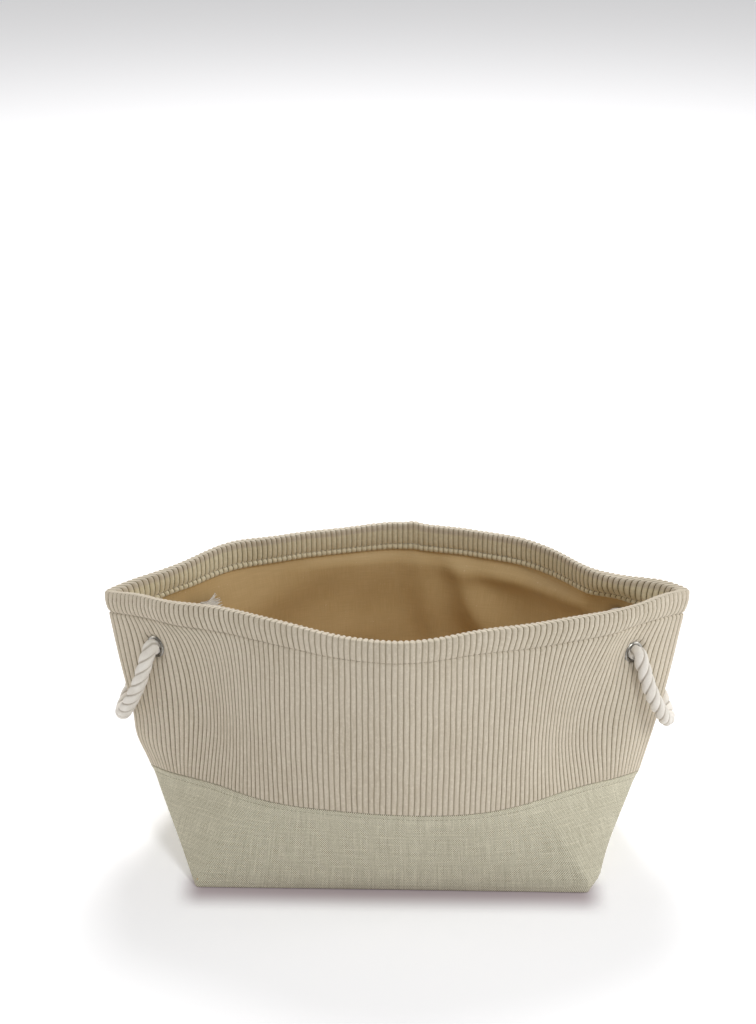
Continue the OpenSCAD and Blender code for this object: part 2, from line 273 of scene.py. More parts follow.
def ring_pair(s):
    soft = 4.0 * MM if s > 1 else (1.6 + 2.4 * s) * MM
    outer = settle(whole_turn(s, 0, soft))
    inner = settle(whole_turn(s, HEM_T, soft * 0.6))
    return outer, inner


RINGS = [ring_pair(s) for s in STATIONS]
OUTER = np.array([r[0] for r in RINGS])
INNER = np.array([r[1] for r in RINGS])
# Round figure for the way round the bin, which sets the scale of the cloth patterns
PERIMETER = 0.9


def wall(turn, station, inset):
    """The point at a fraction of a turn, a station and an inset, which are arrays of one shape."""
    turn, station, inset = np.broadcast_arrays(turn, station, inset)
    column = (turn % 1) * DENSE
    c0 = np.floor(column).astype(int)
    ck = (column - c0)[..., None]
    c0 %= DENSE
    c1 = (c0 + 1) % DENSE
    row = np.interp(station, STATIONS, np.arange(len(STATIONS)))
    r0 = np.clip(np.floor(row).astype(int), 0, len(STATIONS) - 2)
    rk = (row - r0)[..., None]

    def at(table):
        low = table[r0, c0] * (1 - ck) + table[r0, c1] * ck
        high = table[r0 + 1, c0] * (1 - ck) + table[r0 + 1, c1] * ck
        return low + (high - low) * rk

    outside = at(OUTER)
    return outside + (at(INNER) - outside) * (inset / HEM_T)[..., None]


def band_height(turn):
    return np.linalg.norm(wall(turn, 2.0, 0.0) - wall(turn, 1.0, 0.0), axis=-1)


def press_at_eyelets(p, inset):
    """Presses cloth flat between each eyelet's flange and its washer."""
    flat = p.reshape(-1, 3)
    inset = np.broadcast_to(inset, p.shape[:-1]).reshape(-1)
    for corner in CORNERS:
        middle, out = np.array(mirrored(EYELET, corner)), np.array(mirrored(EYELET_OUT, corner))
        gap = flat - middle
        height = gap @ out
        radius = np.linalg.norm(gap - height[:, None] * out, axis=1)
        near = 1 - smooth((radius - 8.1 * MM) / (2.6 * MM))
        near *= np.abs(height) < 14 * MM
        seat = -0.46 * MM - inset * (2.9 / 3.8)
        flat += (near * (seat - height))[:, None] * out
    return flat.reshape(p.shape)


# ---------------------------------------------------------------- mesh helpers


def link(name, bm, material=None, shade_smooth=True):
    mesh = bpy.data.meshes.new(name)
    bm.to_mesh(mesh)
    bm.free()
    obj = bpy.data.objects.new(name, mesh)
    bpy.context.scene.collection.objects.link(obj)
    if material:
        mesh.materials.append(material)
    mesh.polygons.foreach_set("use_smooth", [shade_smooth] * len(mesh.polygons))
    return obj


def cloth_grid(name, place, cloth_uv, material):
    """A cloth piece: a grid moved to place[row][column], closed where its first and last lines meet.

    Open ends are filled, and cloth_uv gives each point's coordinates on the flat cloth."""
    rows, columns = place.shape[:2]
    bm = bmesh.new()
    bmesh.ops.create_grid(bm, x_segments=columns - 1, y_segments=rows - 1, size=1)
    uv_layer = bm.loops.layers.uv.new("cloth")
    spot = {}
    for v in bm.verts:
        column = round((v.co.x + 1) / 2 * (columns - 1))
        row = round((v.co.y + 1) / 2 * (rows - 1))
        spot[v] = row, column
    for face in bm.faces:
        for corner in face.loops:
            corner[uv_layer].uv = cloth_uv[spot[corner.vert]]
    for v, at in spot.items():
        v.co = place[at]
    bmesh.ops.remove_doubles(bm, verts=bm.verts, dist=1e-7)
    open_edges = [e for e in bm.edges if e.is_boundary]
    if open_edges:
        bmesh.ops.holes_fill(bm, edges=open_edges, sides=0)
    bmesh.ops.recalc_face_normals(bm, faces=bm.faces)
    return link(name, bm, material)


def cut_eyelet_holes(obj, corners=tuple(CORNERS)):
    bm = bmesh.new()
    for corner in corners:
        out = mirrored(EYELET_OUT, corner)
        turned = out.to_track_quat("Z", "Y").to_matrix().to_4x4()
        place = Matrix.Translation(mirrored(EYELET, corner) - out * 3 * MM) @ turned
        bmesh.ops.create_cone(
            bm, cap_ends=True, segments=40, radius1=6.3 * MM, radius2=6.3 * MM, depth=20 * MM, matrix=place
        )
    cutter = link("eyelet_cutter", bm)
    cut = obj.modifiers.new("eyelet_holes", "BOOLEAN")
    cut.operation = "DIFFERENCE"
    cut.solver = "MANIFOLD"
    cut.object = cutter
    holed = bpy.data.meshes.new_from_object(obj.evaluated_get(bpy.context.evaluated_depsgraph_get()))
    obj.modifiers.clear()
    obj.data = holed
    bpy.data.objects.remove(cutter)


def swept_tube(bm, path, radii, sides, profile=None, lay=0.0, uv_layer=None, phase=0.0):
    """A tube along a path, closed at both ends. profile gives the radius factor round a strand pattern."""
    path = [Vector(p) for p in path]
    n = len(path)
    tangents = [(path[min(i + 1, n - 1)] - path[max(i - 1, 0)]).normalized() for i in range(n)]
    across = tangents[0].orthogonal().normalized()
    far = 0.0
    rings = []
    lengths = []
    for i in range(n):
        if i:
            far += (path[i] - path[i - 1]).length
            turn = tangents[i - 1].rotation_difference(tangents[i])
            across = (turn @ across).normalized()
        other = tangents[i].cross(across)
        spin = phase + (far / lay * 2 * math.pi if lay else 0)
        ring = []
        for j in range(sides):
            a = 2 * math.pi * j / sides
            r = radii[i] * (profile(a) if profile else 1)
            way = across * math.cos(a + spin) + other * math.sin(a + spin)
            ring.append(bm.verts.new(path[i] + way * r))
        rings.append(ring)
        lengths.append(far)
    for i in range(n - 1):
        for j in range(sides):
            k = (j + 1) % sides
            face = bm.faces.new((rings[i][j], rings[i][k], rings[i + 1][k], rings[i + 1][j]))
            if uv_layer:
                round_uv = (j / sides, (j + 1) / sides)
                for corner, (u, v) in zip(face.loops, ((0, i), (1, i), (1, i + 1), (0, i + 1))):
                    corner[uv_layer].uv = (round_uv[u], lengths[v])
    bm.faces.new(list(reversed(rings[0])))
    bm.faces.new(rings[-1])


# ---------------------------------------------------------------- materials


class Nodes:
    """Short calls for building a node tree."""

    def __init__(self, tree):
        self.tree = tree

    def add(self, kind, **values):
        node = self.tree.nodes.new(kind)
        for key, value in values.items():
            if hasattr(node, key):
                setattr(node, key, value)
            else:
                node.inputs[key.replace("_", " ")].default_value = value
        return node

    def join(self, a, b):
        self.tree.links.new(a, b)

    def maths(self, operation, a, b=None, c=None):
        node = self.tree.nodes.new("ShaderNodeMath")
        node.operation = operation
        for socket, value in zip(node.inputs, (a, b, c)):
            if value is None:
                continue
            if isinstance(value, (int, float)):
                socket.default_value = value
            else:
                self.join(value, socket)
        return node.outputs[0]

    def spread(self, value, from_low, from_high, to_low=0.0, to_high=1.0, kind="SMOOTHSTEP"):
        node = self.tree.nodes.new("ShaderNodeMapRange")
        node.interpolation_type = kind
        self.join(value, node.inputs[0])
        for socket, number in zip(list(node.inputs)[1:5], (from_low, from_high, to_low, to_high)):
            socket.default_value = number
        return node.outputs[0]

    def mix(self, factor, a, b, blend="MIX"):
        node = self.tree.nodes.new("ShaderNodeMix")
        node.data_type = "RGBA"
        node.blend_type = blend
        for socket, value in zip((node.inputs[0], node.inputs[6], node.inputs[7]), (factor, a, b)):
            if isinstance(value, (int, float)):
                socket.default_value = value
            elif isinstance(value, tuple):
                socket.default_value = (*value, 1)
            else:
                self.join(value, socket)
        return node.outputs[2]

    def noise(self, vector, scale, detail=3.0, roughness=0.5, stretch=None):
        if stretch:
            mapping = self.tree.nodes.new("ShaderNodeMapping")
            mapping.inputs["Scale"].default_value = stretch
            self.join(vector, mapping.inputs["Vector"])
            vector = mapping.outputs[0]
        node = self.tree.nodes.new("ShaderNodeTexNoise")
        node.inputs["Scale"].default_value = scale
        node.inputs["Detail"].default_value = detail
        node.inputs["Roughness"].default_value = roughness
        self.join(vector, node.inputs["Vector"])
        return node.outputs["Fac"]

    def bump(self, height, strength, distance):
        node = self.tree.nodes.new("ShaderNodeBump")
        node.inputs["Strength"].default_value = strength
        node.inputs["Distance"].default_value = distance
        self.join(height, node.inputs["Height"])
        return node.outputs[0]


def new_material(name):
    """A material, its node helper, its shader and its Object coordinates."""
    mat = bpy.data.materials.new(name)
    mat.use_nodes = True
    n = Nodes(mat.node_tree)
    place = n.add("ShaderNodeTexCoord").outputs["Object"]
    return mat, n, mat.node_tree.nodes["Principled BSDF"], place


def dress(shader, colour, normal=None, **finish):
    """Joins the colour and the bump, and sets what is the same all over on the shader's own sockets."""
    tree = shader.id_data
    tree.links.new(colour, shader.inputs["Base Color"])
    if normal:
        tree.links.new(normal, shader.inputs["Normal"])
    for name, value in finish.items():
        shader.inputs[name.replace("_", " ")].default_value = value


RIBS = 230


def corduroy_cloth():
    """Piled ribs: UV's u counts ribs round the bin, and v is metres along a rib."""
    mat, n, shader, place = new_material("corduroy")
    uv = n.add("ShaderNodeUVMap", uv_map="cloth").outputs[0]
    split = n.add("ShaderNodeSeparateXYZ")
    n.join(uv, split.inputs[0])
    rib = split.outputs[0]
    phase = n.maths("FRACT", rib)
    to_groove = n.maths("MINIMUM", phase, n.maths("SUBTRACT", 1.0, phase))
    ragged = n.noise(place, 900, 2)
    to_groove = n.maths("ADD", to_groove, n.maths("MULTIPLY", n.maths("SUBTRACT", ragged, 0.5), 0.05))
    # The dark groove line is partly the cloth's own darker ground between ribs and partly painted shade in
    # the groove
    groove_and_shade = n.spread(to_groove, 0.035, 0.135, 1.0, 0.0)
    painted_flank_shade = n.spread(to_groove, 0.08, 0.32, 1.0, 0.0)
    which = n.tree.nodes.new("ShaderNodeTexWhiteNoise")
    which.noise_dimensions = "1D"
    n.join(n.maths("FLOOR", rib), which.inputs["W"])
    pile = n.noise(place, 1700, 3, 0.6)
    tufts = n.noise(place, 420, 3, 0.6)
    streaks = n.noise(uv, 1.0, 3, 0.6, (2.2, 60, 1))
    patches = n.noise(place, 26, 3)
    colour = n.mix(n.spread(patches, 0.35, 0.65), (0.555, 0.478, 0.368), (0.612, 0.533, 0.422))
    colour = n.mix(n.spread(streaks, 0.3, 0.7), colour, (0.647, 0.570, 0.456))
    colour = n.mix(n.maths("MULTIPLY", which.outputs[0], 0.22), colour, (0.532, 0.460, 0.358))
    colour = n.mix(n.spread(tufts, 0.42, 0.72, 0.0, 0.40), colour, (0.763, 0.690, 0.566))
    colour = n.mix(n.spread(pile, 0.30, 0.52, 0.22, 0.0), colour, (0.416, 0.345, 0.248))
    # Painted shade: the rounded flanks of each rib are painted darker towards the groove
    colour = n.mix(n.maths("MULTIPLY", painted_flank_shade, 0.30), colour, (0.439, 0.375, 0.263))
    # Towards the ends the ribs crowd together and turn away from the light, and their grooves are painted
    # darker there: painted shade
    spot = n.add("ShaderNodeSeparateXYZ")
    n.join(place, spot.inputs[0])
    groove_shade_towards_ends = n.spread(n.maths("ABSOLUTE", spot.outputs[0]), 40 * MM, 130 * MM, 0.46, 0.97)
    colour = n.mix(n.maths("MULTIPLY", groove_and_shade, groove_shade_towards_ends), colour, (0.143, 0.114, 0.057))
    # The flap inside the rim is painted lighter: painted light on the inside of the hem
    flap_painted_light = n.spread(split.outputs[1], -6 * MM, -3 * MM, 1.0, 0.0)
    colour = n.mix(flap_painted_light, colour, (1.20, 1.24, 1.15), "MULTIPLY")
    normal = n.bump(n.maths("ADD", pile, n.maths("MULTIPLY", tufts, 1.4)), 0.55, 0.35 * MM)
    dress(shader, colour, normal, Roughness=0.92, Specular_IOR_Level=0.16,
          Sheen_Weight=0.35, Sheen_Roughness=0.45, Sheen_Tint=(1.0, 0.95, 0.86, 1))
    return mat


def linen_cloth():
    """A plain weave with slubs: UV is metres along the cloth."""
    mat, n, shader, place = new_material("linen")
    uv = n.add("ShaderNodeUVMap", uv_map="cloth").outputs[0]
    pitch = 0.74 * MM
    drift = n.noise(uv, 38, 2)
    split = n.add("ShaderNodeSeparateXYZ")
    n.join(uv, split.inputs[0])
    wander = n.maths("MULTIPLY", n.maths("SUBTRACT", drift, 0.5), 0.8 * MM)
    across = n.maths("DIVIDE", n.maths("ADD", split.outputs[0], wander), pitch)
    up = n.maths("DIVIDE", n.maths("ADD", split.outputs[1], wander), pitch)
    warp = n.maths("SINE", n.maths("MULTIPLY", across, math.pi))
    weft = n.maths("SINE", n.maths("MULTIPLY", up, math.pi))
    over = n.maths("MULTIPLY_ADD", n.maths("MULTIPLY", warp, weft), 0.5, 0.5)

    def each_thread(count):
        tone = n.tree.nodes.new("ShaderNodeTexWhiteNoise")
        tone.noise_dimensions = "1D"
        n.join(n.maths("FLOOR", count), tone.inputs["W"])
        return tone.outputs[0]

    warp_tone, weft_tone = each_thread(across), each_thread(up)
    threads_up = n.noise(uv, 1.0, 2, 0.6, (900, 45, 1))
    threads_across = n.noise(uv, 1.0, 2, 0.6, (45, 900, 1))
    fleck = n.noise(uv, 900, 2, 0.7)
    slub_up = n.noise(uv, 1.0, 2, 0.5, (430, 26, 1))
    slub_across = n.noise(uv, 1.0, 2, 0.5, (26, 430, 1))
    patches = n.noise(place, 30, 3)
    colour = n.mix(n.spread(patches, 0.35, 0.65), (0.516, 0.470, 0.344), (0.553, 0.508, 0.375))
    colour = n.mix(n.spread(over, 0.30, 0.52, 0.92, 0.0), colour, (0.176, 0.154, 0.093))
    colour = n.mix(n.spread(over, 0.52, 0.85, 0.0, 0.80), colour, (0.945, 0.927, 0.762))
    colour = n.mix(n.maths("MULTIPLY", warp_tone, 0.20), colour, (0.340, 0.304, 0.207))
    colour = n.mix(n.maths("MULTIPLY", weft_tone, 0.20), colour, (0.748, 0.704, 0.555))
    colour = n.mix(n.spread(threads_up, 0.50, 0.72, 0.0, 0.30), colour, (0.794, 0.749, 0.599))
    colour = n.mix(n.spread(threads_across, 0.50, 0.72, 0.0, 0.30), colour, (0.771, 0.715, 0.555))
    colour = n.mix(n.spread(threads_up, 0.46, 0.25, 0.0, 0.35), colour, (0.273, 0.240, 0.158))
    colour = n.mix(n.spread(fleck, 0.54, 0.74, 0.0, 0.45), colour, (0.907, 0.860, 0.708))
    colour = n.mix(n.spread(fleck, 0.44, 0.26, 0.0, 0.40), colour, (0.204, 0.178, 0.115))
    colour = n.mix(n.spread(slub_up, 0.62, 0.78, 0.0, 0.12), colour, (0.726, 0.670, 0.534))
    colour = n.mix(n.spread(slub_across, 0.62, 0.78, 0.0, 0.10), colour, (0.681, 0.637, 0.500))
    relief = n.maths("ADD", over, n.maths("ADD", threads_up, n.maths("ADD", slub_up, slub_across)))
    dress(shader, colour, n.bump(relief, 0.5, 0.22 * MM), Roughness=0.9, Specular_IOR_Level=0.2,
          Sheen_Weight=0.12, Sheen_Roughness=0.5)
    return mat


def lining_cloth():
    """Fine tan cloth with a soft sheen."""
    mat, n, shader, place = new_material("lining")
    uv = n.add("ShaderNodeUVMap", uv_map="cloth").outputs[0]
    up = n.noise(uv, 1.0, 2, 0.6, (2100, 60, 1))
    across = n.noise(uv, 1.0, 2, 0.6, (60, 2100, 1))
    patches = n.noise(place, 17, 3)
    specks = n.noise(place, 700, 1)
    colour = n.mix(n.spread(patches, 0.35, 0.65), (0.555, 0.392, 0.189), (0.613, 0.444, 0.227))
    colour = n.mix(n.spread(up, 0.35, 0.65, 0.0, 0.28), colour, (0.723, 0.547, 0.302))
    colour = n.mix(n.spread(across, 0.35, 0.65, 0.0, 0.28), colour, (0.464, 0.321, 0.151))
    colour = n.mix(n.spread(specks, 0.74, 0.80, 0.0, 0.5), colour, (0.799, 0.651, 0.432))
    normal = n.bump(n.maths("ADD", up, across), 0.35, 0.10 * MM)
    dress(shader, colour, normal, Roughness=0.52, Specular_IOR_Level=0.35,
          Sheen_Weight=0.18, Sheen_Roughness=0.35)
    return mat


def plain_felt():
    mat, n, shader, place = new_material("felt")
    fibres = n.noise(place, 900, 4, 0.7)
    colour = n.mix(fibres, (0.70, 0.70, 0.67), (0.86, 0.86, 0.84))
    dress(shader, colour, n.bump(fibres, 0.5, 0.3 * MM), Roughness=0.95)
    return mat


def pressed_board():
    mat, n, shader, place = new_material("board")
    chips = n.noise(place, 320, 5, 0.7)
    colour = n.mix(chips, (0.10, 0.075, 0.050), (0.26, 0.20, 0.14))
    dress(shader, colour, n.bump(chips, 0.3, 0.2 * MM), Roughness=0.8)
    return mat


def dark_nickel():
    mat, n, shader, place = new_material("eyelet_metal")
    rub = n.noise(place, 260, 4, 0.6)
    fine = n.noise(place, 2600, 2, 0.5)
    colour = n.mix(n.spread(rub, 0.35, 0.65), (0.26, 0.25, 0.225), (0.45, 0.43, 0.39))
    n.join(n.spread(n.maths("ADD", rub, fine), 0.7, 1.3, 0.20, 0.40), shader.inputs["Roughness"])
    dress(shader, colour, n.bump(fine, 0.12, 0.05 * MM), Metallic=1.0)
    return mat


def cotton_rope():
    """Twisted cotton strands: UV's u goes once round the rope, and v is metres along it."""
    mat, n, shader, place = new_material("rope")
    uv = n.add("ShaderNodeUVMap", uv_map="rope").outputs[0]
    split = n.add("ShaderNodeSeparateXYZ")
    n.join(uv, split.inputs[0])
    round_it, along = split.outputs[0], split.outputs[1]
    strand = n.maths("FRACT", n.maths("MULTIPLY", round_it, 3.0))
    to_valley = n.maths("MINIMUM", strand, n.maths("SUBTRACT", 1.0, strand))
    yarns_round = n.maths("MULTIPLY", round_it, 2 * math.pi * 33)
    yarn_turn = n.maths("ADD", yarns_round, n.maths("MULTIPLY", along, 2600))
    yarns = n.maths("MULTIPLY_ADD", n.maths("SINE", yarn_turn), 0.5, 0.5)
    fuzz = n.noise(place, 1500, 3, 0.6)
    patches = n.noise(place, 90, 2)
    colour = n.mix(n.spread(patches, 0.35, 0.65), (0.768, 0.714, 0.636), (0.852, 0.806, 0.734))
    colour = n.mix(n.spread(yarns, 0.0, 0.45, 0.20, 0.0), colour, (0.624, 0.564, 0.480))
    colour = n.mix(n.spread(fuzz, 0.5, 0.75, 0.0, 0.5), colour, (0.936, 0.900, 0.840))
    # Painted shade in the valleys between the strands
    colour = n.mix(n.spread(to_valley, 0.0, 0.17, 0.62, 0.0), colour, (0.408, 0.348, 0.270))
    normal = n.bump(n.maths("ADD", yarns, fuzz), 0.45, 0.25 * MM)
    dress(shader, colour, normal, Roughness=0.88, Specular_IOR_Level=0.15, Sheen_Weight=0.25)
    return mat


def sewing_thread(name, dark, light):
    mat, n, shader, place = new_material(name)
    ply = n.noise(place, 2200, 2, 0.6)
    colour = n.mix(n.spread(ply, 0.35, 0.65), dark, light)
    dress(shader, colour, n.bump(ply, 0.4, 0.1 * MM), Roughness=0.75)
    return mat


MATERIALS = {
    "corduroy": corduroy_cloth(),
    "linen": linen_cloth(),
    "lining": lining_cloth(),
    "felt": plain_felt(),
    "board": pressed_board(),
    "eyelet_metal": dark_nickel(),
    "rope": cotton_rope(),
    "corduroy_thread": sewing_thread("corduroy_thread", (0.30, 0.25, 0.18), (0.50, 0.44, 0.34)),
    "linen_thread": sewing_thread("linen_thread", (0.24, 0.215, 0.145), (0.42, 0.39, 0.29)),
}

# ---------------------------------------------------------------- corduroy band

# Places across one rib, as shares of its width, and how deep the cloth lies there below its top
RIB_CUTS = (0.0, 0.10, 0.34, 0.66, 0.90)
RIB_DEPTHS = (1.0, 0.30, 0.0, 0.0, 0.30)
GROOVE = 0.8 * MM
# Where the hem turns over, the ribs spread and stand rounder, and the grooves drop this many times as deep
ROUND_DEPTHS = (1.1, 0.66, 0.06, 0.06, 0.66)
CROWN_GROOVES = 2.2
# The hem's stitches, below the rim
STITCH_DOWN = 16.5 * MM
# How far the ribs bow towards the middle at half height, in ribs
RIB_BOW = 3.8


def band_profile():
    """Rows up the outside, over the rim and down the flap. Each is (kind: drop below the rim or share of the
    lower wall, that drop or share, inset, rib relief)."""
    upper = 44 * MM
    rows = [("low", 0.0, 1.1 * MM, 0.25), ("low", 0.004, 0.35 * MM, 0.8), ("low", 0.012, 0.0, 1.0)]
    rows += [("low", float(k), 0.0, 1.0) for k in np.linspace(0.05, 0.96, 20)]
    below_hem = (42.5, 41, 39.5, 38, 36.5, 35, 33.5, 32, 30.5, 29, 27.5, 26, 24, 22)
    rows += [("drop", d * MM, 0.0, 1.0) for d in below_hem]
    near_stitch = (
        (20.2, 0.0, 1.0), (18.8, 0.05, 1.0), (17.6, 0.15, 1.0), (16.9, 0.65, 0.7), (16.5, 1.0, 0.4),
    )
    rows += [("drop", d * MM, i * MM, r) for d, i, r in near_stitch]
    puff = (
        (16.1, 0.65, 0.7), (15.2, 0.05, 1), (13.4, -0.25, 1),
        (10.5, -0.45, 1), (7.0, -0.45, 1), (3.8, -0.25, 1),
    )
    rows += [("drop", d * MM, i * MM, r) for d, i, r in puff]
    crown = (
        (1.4, 0.0), (-0.4, 0.6), (-1.5, 1.5), (-2.0, 2.6),
        (-2.0, 3.6), (-1.4, 4.7), (-0.1, 5.6), (2.0, 6.1),
    )
    rows += [("drop", d * MM, i * MM, 1.0) for d, i in crown]
    inside = (
        (5.0, 6.3, 1), (8.5, 6.4, 1), (12.0, 6.3, 1), (14.6, 6.1, 1), (15.8, 5.7, 0.85), (16.5, 5.2, 0.6),
        (17.1, 5.6, 0.85), (18.2, 6.2, 1), (19.6, 6.3, 1), (20.8, 5.8, 1), (21.4, 4.9, 0.7),
    )
    rows += [("drop", d * MM, i * MM, r) for d, i, r in inside]
    hidden = (
        (21.2, 4.1, 0), (5.0, 4.1, 0), (3.4, 3.4, 0), (3.4, 2.4, 0),
        (6.0, 2.05, 0), (30.0, 2.05, 0), (44.0, 2.05, 0),
    )
    rows += [("drop", d * MM, i * MM, r) for d, i, r in hidden]
    rows += [("low", 0.6, 2.05 * MM, 0), ("low", 0.25, 2.05 * MM, 0), ("low", 0.0, 2.05 * MM, 0)]
    rows += [rows[0]]
    return rows, upper


def corduroy_band():
    rows, upper = band_profile()
    cuts = np.array([(i + u) / RIBS for i in range(RIBS) for u in RIB_CUTS] + [1.0])
    depth = np.array([d for _ in range(RIBS) for d in RIB_DEPTHS] + [RIB_DEPTHS[0]])
    rib_depth = np.repeat(rng.uniform(0.82, 1.12, RIBS), len(RIB_CUTS))
    depth[:-1] *= rib_depth
    depth[-1] = depth[0]
    round_depth = np.array([d for _ in range(RIBS) for d in ROUND_DEPTHS] + [ROUND_DEPTHS[0]])
    height = band_height(cuts)
    place = np.zeros((len(rows), len(cuts), 3))
    cloth = np.zeros((len(rows), len(cuts), 2))
    drop = np.zeros((len(rows), len(cuts)))
    inset = np.zeros((len(rows), len(cuts)))
    for r, (kind, value, row_inset, relief) in enumerate(rows):
        low = (height - upper) * (1 - value) + upper
        drop[r] = low if kind == "low" else value
        inset[r] = row_inset + depth * relief * GROOVE
    # On the crown, a groove lies lower as well as further in
    for r, (kind, value, row_inset, relief) in enumerate(rows):
        if kind == "drop" and value < 4.5 * MM and relief == 1:
            lean = (row_inset - HEM_T / 2) / (HEM_T / 2 + 0.2 * MM)
            lean = max(-1, min(1, lean))
            inset[r] = row_inset - round_depth * GROOVE * lean
            drop[r] += CROWN_GROOVES * round_depth * GROOVE * math.sqrt(1 - lean * lean)
        elif kind == "drop" and row_inset > 4.5 * MM and relief:
            inset[r] = row_inset - round_depth * relief * GROOVE
    # Ribs wander a little, and lean where the hem was dragged as it was sewn
    side = np.sin(cuts * 4 * math.pi)
    from_fold = np.minimum((cuts - 0.25) % 0.5, (0.25 - cuts) % 0.5) * PERIMETER
    near_fold = np.sign(side) * soft_spot(from_fold - 62 * MM, 36 * MM) * smooth(from_fold / (25 * MM))
    bow_shape = np.where(cuts > 0.5, 0.6, 0.85)
    for r in range(len(rows)):
        v = drop[r]
        wander = 0.05 * np.sin(v * 45 + cuts * 40) + 0.02 * np.sin(v * 210 + cuts * 91)
        noise = 0.015 * np.sin(cuts * RIBS * 2.1 + v * 160)
        shift = (wander + noise) / RIBS
        outside = rows[r][2] < 4 * MM
        hem = smooth(1 - v / STITCH_DOWN) if outside else 0
        shift = shift + side * side * side * 0.95 / RIBS * hem
        bowed = np.clip((v - STITCH_DOWN) / (height - STITCH_DOWN), 0, 1) * outside
        shift = shift - near_fold * RIB_BOW / RIBS * np.sin(math.pi * bowed**bow_shape)
        turn = cuts + shift
        station = 2 - drop[r] / height
        place[r] = wall(turn, station, inset[r])
        cloth[r, :, 0] = cuts * RIBS
        travel = drop[r] if rows[r][2] < 4 * MM else -drop[r]
        cloth[r, :, 1] = travel
    row_insets = np.array([row[2] for row in rows])[:, None]
    place = press_at_eyelets(place, np.clip(row_insets, 0, HEM_T))
    place[-1] = place[0]
    place[:, -1] = place[:, 0]
    band = cloth_grid("corduroy_band_cloth", place, cloth, MATERIALS["corduroy"])
    cut_eyelet_holes(band)
    return band


def settle_on_bin(piece, node_name):
    """A finished piece that moves with the bin and takes the place of a CAD node."""
    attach(piece, "bin")
    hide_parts(node_name)


settle_on_bin(corduroy_band(), "corduroy_band")


# ---------------------------------------------------------------- layered sheets: linen, felt, lining


def layered_sheet(name, material, turns, outer_rows, inner_rows, slack=None):
    """A sheet with thickness: rows up one face and down the other, closed round its edges.

    slack gives how far the cloth hangs away from the wall at each point."""
    rows = list(outer_rows) + list(reversed(inner_rows)) + [outer_rows[0]]
    station = np.array([row[0] for row in rows])[:, None] + 0 * turns
    inset = np.array([row[1] for row in rows])[:, None] + 0 * turns
    if slack:
        inset = inset + slack(wall(turns[None, :], station, inset), station)
    place = wall(turns[None, :], station, inset)
    place = press_at_eyelets(place, inset)
    cloth = np.zeros((*station.shape, 2))
    cloth[..., 0] = turns * PERIMETER
    cloth[..., 1] = np.where(station < 1, station * 0.062, 0.062 + (station - 1) * 0.132)
    return cloth_grid(name, place, cloth, material)


def face_rows(stations, inset):
    return [(float(s), inset) for s in stations]


def linen_panel(name, first, last):
    """Half of the tub, with a raised lip under the corduroy and a pinch where it is topstitched."""
    gap = 0.15 * MM / PERIMETER
    turns = np.linspace(first + gap, last - gap, 321)
    lip = ((0.920, 0.0), (0.936, 0.04), (0.944, 0.10), (0.952, 0.04), (0.965, 0.0), (0.978, -0.05),
           (0.990, 0.0), (0.997, 0.25))
    low = ((0.0, 0.55), (0.004, 0.12), (0.012, 0.0))
    outer = [(s, i * MM) for s, i in low]
    outer += face_rows(np.linspace(0.03, 0.90, 22), 0.0)
    outer += [(s, i * MM) for s, i in lip] + [(1.0, 0.9 * MM)]
    inner = face_rows(np.linspace(0.0, 1.0, 9), 1.0 * MM)
    return layered_sheet(name, MATERIALS["linen"], turns, outer, inner)


# Each panel goes half way round the bin, from this share of a turn
PANELS = (("front", 0.25), ("back", 0.75))
for half, first in PANELS:
    settle_on_bin(linen_panel(f"linen_{half}_cloth", first, first + 0.5), "linen_" + half)


def felt_wall():
    turns = np.linspace(0, 1, 481)
    low, high = 0.03, 2 - 4 * MM / 0.135
    outer = face_rows(np.linspace(low, high, 40), 2.15 * MM)
    inner = face_rows(np.linspace(low, high, 40), 3.1 * MM)
    felt = layered_sheet("wall_felt_sheet", MATERIALS["felt"], turns, outer, inner)
    cut_eyelet_holes(felt)
    return felt


settle_on_bin(felt_wall(), "wall_felt")


# Soft folds of the lining: middle (x, y side, z), half length, half width, slant in degrees from level, depth
LINING_FOLDS = (
    (0.100, 1, 0.158, 0.044, 0.0050, -2, 3.4 * MM),
    (0.052, 1, 0.148, 0.034, 0.0075, 112, 3.0 * MM),
    (0.022, 1, 0.130, 0.034, 0.0085, 100, 2.2 * MM),
    (-0.030, 1, 0.140, 0.040, 0.0140, 60, 2.6 * MM),
    (-0.075, 1, 0.150, 0.030, 0.0120, 25, 2.4 * MM),
    (-0.050, 1, 0.095, 0.040, 0.0130, 20, 2.6 * MM),
    (0.080, 1, 0.110, 0.040, 0.0120, 140, 3.0 * MM),
    (0.020, 1, 0.060, 0.060, 0.0120, 5, 2.4 * MM),
    (-0.070, -1, 0.130, 0.040, 0.0100, 80, 2.6 * MM),
    (0.010, -1, 0.120, 0.045, 0.0110, 95, 2.6 * MM),
    (0.080, -1, 0.135, 0.040, 0.0100, 70, 2.4 * MM),
    (0.000, -1, 0.070, 0.070, 0.0110, 0, 2.2 * MM),
)


def lining_slack(p, station):
    """How far the lining hangs inwards: soft folds between the hem, the floor and the knots."""
    x, y, z = p[..., 0], p[..., 1], p[..., 2]
    amount = 0.7 * MM * (1 + np.sin(x * 83 + z * 31) * np.sin(z * 71 - x * 29 + 0.7))
    for cx, side, cz, half_long, half_wide, slant, depth in LINING_FOLDS:
        turned = math.radians(slant)
        along = (x - cx) * math.cos(turned) + (z - cz) * math.sin(turned)
        across = (z - cz) * math.cos(turned) - (x - cx) * math.sin(turned)
        here = np.exp(-0.5 * (along / half_long) ** 2 - 0.5 * (across / half_wide) ** 2)
        amount = amount + 1.7 * depth * here * (np.sign(y) == side)
    free = smooth(((2 - station) * 0.135 - 21.5 * MM) / (9 * MM)) * smooth((z - 8 * MM) / (16 * MM))
    free = free * smooth(np.abs(y) / (20 * MM)) * smooth((150 * MM - np.abs(x)) / (26 * MM))
    return amount * free


